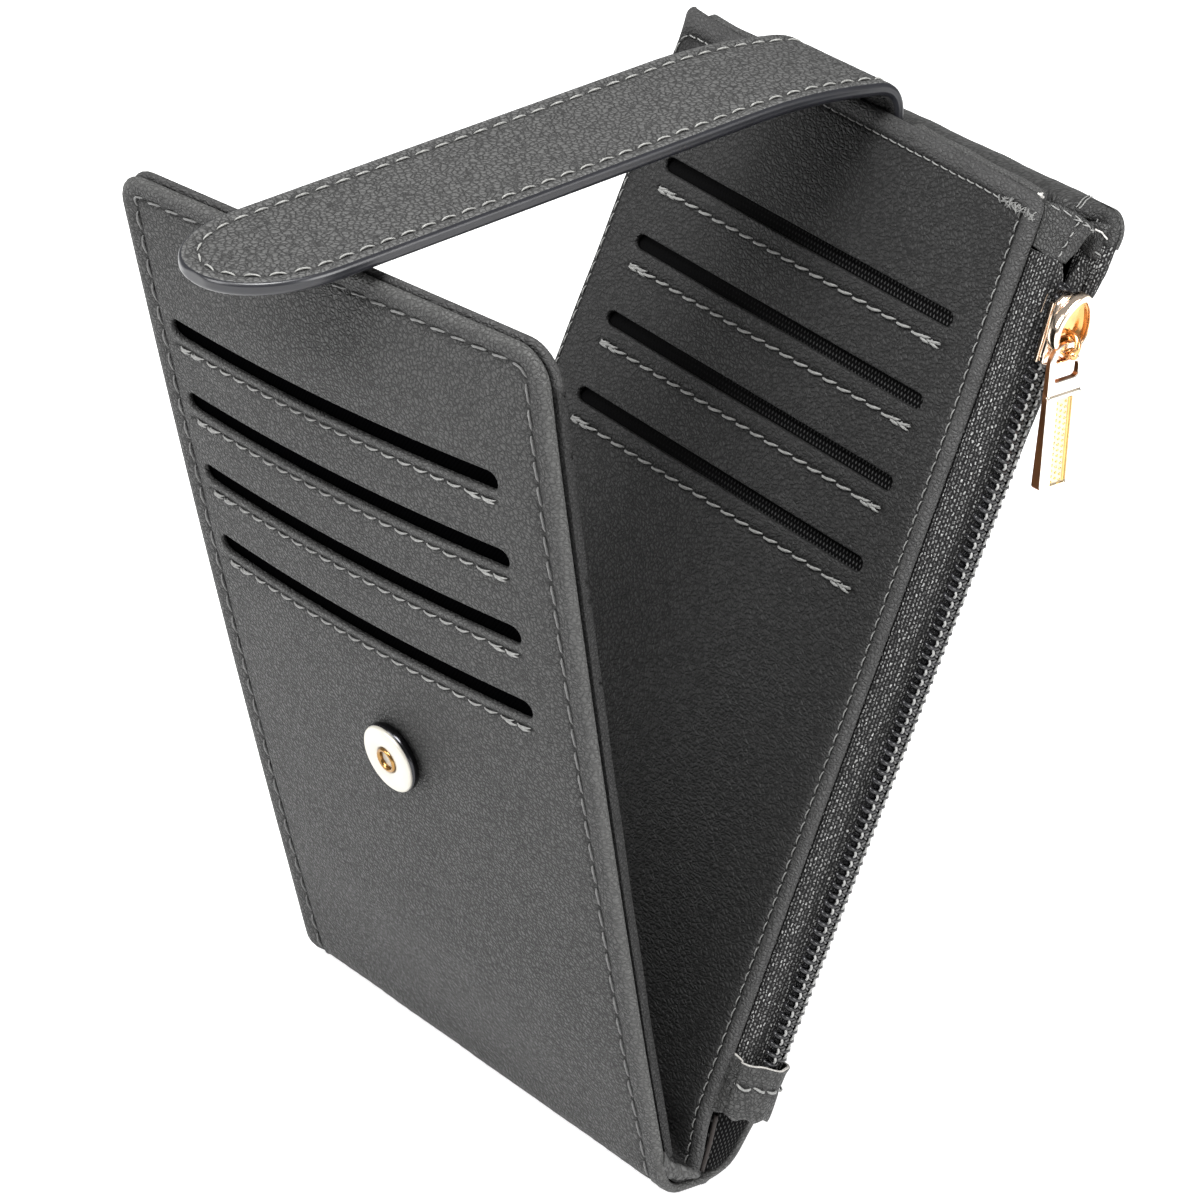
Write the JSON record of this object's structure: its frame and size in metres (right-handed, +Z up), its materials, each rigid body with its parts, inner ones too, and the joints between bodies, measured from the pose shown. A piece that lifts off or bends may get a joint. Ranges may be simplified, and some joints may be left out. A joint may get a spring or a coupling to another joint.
{
  "type": "card wallet",
  "caption": "Slim bifold card wallet standing open on its fold, with card slots on both halves, a zip pocket along one side, a snap and a closing strap.",
  "frame": {"origin": "middle of the flat underside of the fold, which the wallet stands on", "axes": "+Z up, +Y along the fold away from the zip side, +X towards the back half that carries the zip pocket; the front half is on -X"},
  "size_m": [0.1595, 0.1266, 0.1938],
  "materials": {
    "grey_leather": "matte grain",
    "inner_leather": "matte grain",
    "strap_leather": "matte grain",
    "black_lining": "matte",
    "woven_lining": "dotted weave",
    "board": "matte",
    "zip_tape": "woven",
    "zip_coil": "satin",
    "gold": "polished",
    "brass": "satin",
    "steel": "satin",
    "gunmetal": "dark polished",
    "cream": "gloss"
  },
  "bodies": {
    "spine": {"spine_leather": "grey_leather", "spine_stiffener": "board", "spine_lining": "inner_leather"},
    "back_half": {"back_cover": "grey_leather", "back_stiffener": "board", "pocket_lining_outer": "black_lining", "pocket_lining_inner": "black_lining", "pocket_divider": "inner_leather", "card_lining_back_1": "woven_lining", "card_lining_back_2": "woven_lining", "card_lining_back_3": "woven_lining", "card_lining_back_4": "woven_lining", "back_inner_skin": "inner_leather", "strap_tail": "strap_leather", "zip_tape_inner": "zip_tape", "zip_tape_outer": "zip_tape", "zip_coil_inner": "zip_coil", "zip_coil_outer": "zip_coil", "zip_end_tab": "grey_leather", "zip_facing_inner": "inner_leather", "zip_facing_outer": "grey_leather"},
    "front_half": {"front_outer_skin": "grey_leather", "card_lining_front_1": "black_lining", "card_lining_front_2": "black_lining", "card_lining_front_3": "black_lining", "card_lining_front_4": "black_lining", "front_inner_skin": "inner_leather", "snap_rim": "gunmetal", "snap_face": "cream", "snap_socket": "brass", "snap_washer": "steel"},
    "strap": {"strap_bend": "strap_leather", "strap_top": "strap_leather", "strap_lining": "strap_leather", "strap_stud": "gunmetal"},
    "zip_slider": {"slider_body": "gold", "slider_bail": "gold"},
    "zip_pull": {"zip_pull": "gold", "zip_pull_inlay": "gold"}
  },
  "joints": [
    {"name": "back_fold", "type": "hinge", "parent": "spine", "child": "back_half", "pos_m": [0.00895, 0, 0], "axis": [0, 1, 0], "range_deg": [0, 71]},
    {"name": "front_fold", "type": "hinge", "parent": "spine", "child": "front_half", "pos_m": [-0.00895, 0, 0], "axis": [0, -1, 0], "range_deg": [-31, 71]},
    {"name": "strap_bend", "type": "hinge", "parent": "back_half", "child": "strap", "pos_m": [0.0532, 0, 0.1872], "axis": [0, 1, 0], "range_deg": [0, 106], "deforming": ["strap_bend"]},
    {"name": "zip_run", "type": "slide", "parent": "back_half", "child": "zip_slider", "axis": [0.2726, -0.0469, 0.961], "range_m": [-0.133, 0.003]},
    {"name": "pull_swing", "type": "hinge", "parent": "zip_slider", "child": "zip_pull", "pos_m": [0.04749, -0.06896, 0.16198], "axis": [-1, 0, 0], "range_deg": [0, 100]}
  ]
}
